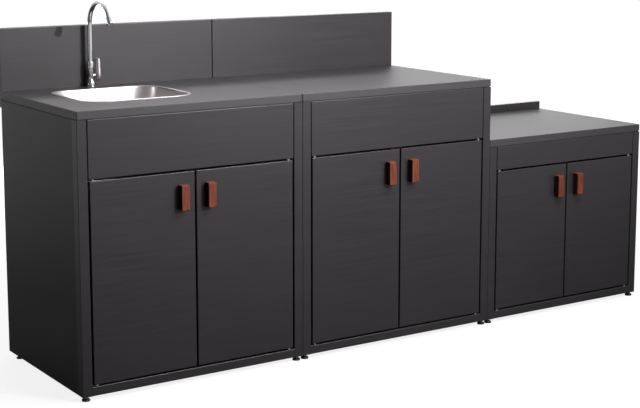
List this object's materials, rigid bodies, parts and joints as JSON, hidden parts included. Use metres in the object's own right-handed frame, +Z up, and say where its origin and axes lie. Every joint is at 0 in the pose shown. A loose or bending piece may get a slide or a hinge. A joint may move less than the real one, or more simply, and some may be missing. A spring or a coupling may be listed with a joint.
{
  "type": "modular outdoor kitchen",
  "caption": "Modular outdoor kitchen of coated sheet steel: sink cabinet with gooseneck tap, storage cabinet and a low cabinet for a table grill, with doors and backsplashes.",
  "frame": {"origin": "middle of the row's footprint on the floor", "axes": "+X along the front from the sink cabinet to the low cabinet, +Y from the front to the back, +Z up"},
  "size_m": [2.35, 0.665, 1.196],
  "materials": {
    "coat_front": "fine-textured anthracite powder coat",
    "coat_top": "fine-textured anthracite powder coat",
    "coat_carcass": "fine-textured anthracite powder coat",
    "pull_wood": "oiled reddish hardwood",
    "catch_plastic": "moulded",
    "foot_plastic": "moulded",
    "trap_plastic": "moulded",
    "zinc_steel": "zinc plated",
    "sink_steel": "satin stainless",
    "tap_chrome": "polished chrome plate"
  },
  "bodies": {
    "frame": {"basin": "sink_steel", "basin_clips": "zinc_steel", "carcass_screws": "zinc_steel", "foot_pads": "foot_plastic", "foot_studs": "zinc_steel", "hinge_pins": "zinc_steel", "low_back": "coat_carcass", "low_base": "coat_carcass", "low_catch": "catch_plastic", "low_fascia": "coat_front", "low_post_left": "coat_carcass", "low_post_right": "coat_carcass", "low_side_left": "coat_carcass", "low_side_right": "coat_carcass", "low_upstand": "coat_carcass", "low_worktop": "coat_top", "module_bolts": "zinc_steel", "shelf_brackets": "zinc_steel", "sink_back": "coat_carcass", "sink_base": "coat_carcass", "sink_catch": "catch_plastic", "sink_fascia": "coat_front", "sink_post_left": "coat_carcass", "sink_post_right": "coat_carcass", "sink_side_left": "coat_carcass", "sink_side_right": "coat_carcass", "sink_splash": "coat_carcass", "sink_worktop": "coat_top", "store_back": "coat_carcass", "store_base": "coat_carcass", "store_catch": "catch_plastic", "store_fascia": "coat_front", "store_post_left": "coat_carcass", "store_post_right": "coat_carcass", "store_shelf": "coat_carcass", "store_side_left": "coat_carcass", "store_side_right": "coat_carcass", "store_splash": "coat_carcass", "store_worktop": "coat_top", "tap_body": "tap_chrome", "tap_nut": "zinc_steel", "trap": "trap_plastic", "waste": "sink_steel"},
    "strainer": {"strainer": "sink_steel"},
    "spout": {"tap_spout": "tap_chrome", "tap_aerator": "tap_chrome"},
    "lever_stem": {"tap_stem": "tap_chrome"},
    "lever": {"tap_lever": "tap_chrome"},
    "sink_door_left": {"sink_door_left": "coat_front", "sink_pull_left": "pull_wood"},
    "sink_door_right": {"sink_door_right": "coat_front", "sink_pull_right": "pull_wood"},
    "store_door_left": {"store_door_left": "coat_front", "store_pull_left": "pull_wood"},
    "store_door_right": {"store_door_right": "coat_front", "store_pull_right": "pull_wood"},
    "low_door_left": {"low_door_left": "coat_front", "low_pull_left": "pull_wood"},
    "low_door_right": {"low_door_right": "coat_front", "low_pull_right": "pull_wood"}
  },
  "joints": [
    {"name": "sink_door_left_pivot", "type": "hinge", "parent": "frame", "child": "sink_door_left", "pos_m": [-1.124, -0.2985, 0.367], "axis": [0, 0, -1], "range_deg": [0, 90]},
    {"name": "sink_door_right_pivot", "type": "hinge", "parent": "frame", "child": "sink_door_right", "pos_m": [-0.426, -0.2985, 0.367], "axis": [0, 0, 1], "range_deg": [0, 90]},
    {"name": "store_door_left_pivot", "type": "hinge", "parent": "frame", "child": "store_door_left", "pos_m": [-0.324, -0.2985, 0.367], "axis": [0, 0, -1], "range_deg": [0, 90]},
    {"name": "store_door_right_pivot", "type": "hinge", "parent": "frame", "child": "store_door_right", "pos_m": [0.374, -0.2985, 0.367], "axis": [0, 0, 1], "range_deg": [0, 90]},
    {"name": "low_door_left_pivot", "type": "hinge", "parent": "frame", "child": "low_door_left", "pos_m": [0.476, -0.2985, 0.3055], "axis": [0, 0, -1], "range_deg": [0, 90]},
    {"name": "low_door_right_pivot", "type": "hinge", "parent": "frame", "child": "low_door_right", "pos_m": [1.124, -0.2985, 0.3055], "axis": [0, 0, 1], "range_deg": [0, 90]},
    {"name": "spout_swivel", "type": "hinge", "parent": "frame", "child": "spout", "pos_m": [-0.863, 0.2665, 0.97], "axis": [0, 0, 1], "range_deg": [-90, 90]},
    {"name": "lever_turn", "type": "hinge", "parent": "frame", "child": "lever_stem", "pos_m": [-0.85, 0.2665, 0.938], "axis": [1, 0, 0], "range_deg": [0, 90]},
    {"name": "lever_tilt", "type": "hinge", "parent": "lever_stem", "child": "lever", "pos_m": [-0.835, 0.2665, 0.938], "axis": [0, 1, 0], "range_deg": [0, 20]},
    {"name": "strainer_lift", "type": "slide", "parent": "frame", "child": "strainer", "axis": [0, 0, 1], "range_m": [0, 0.12]}
  ]
}
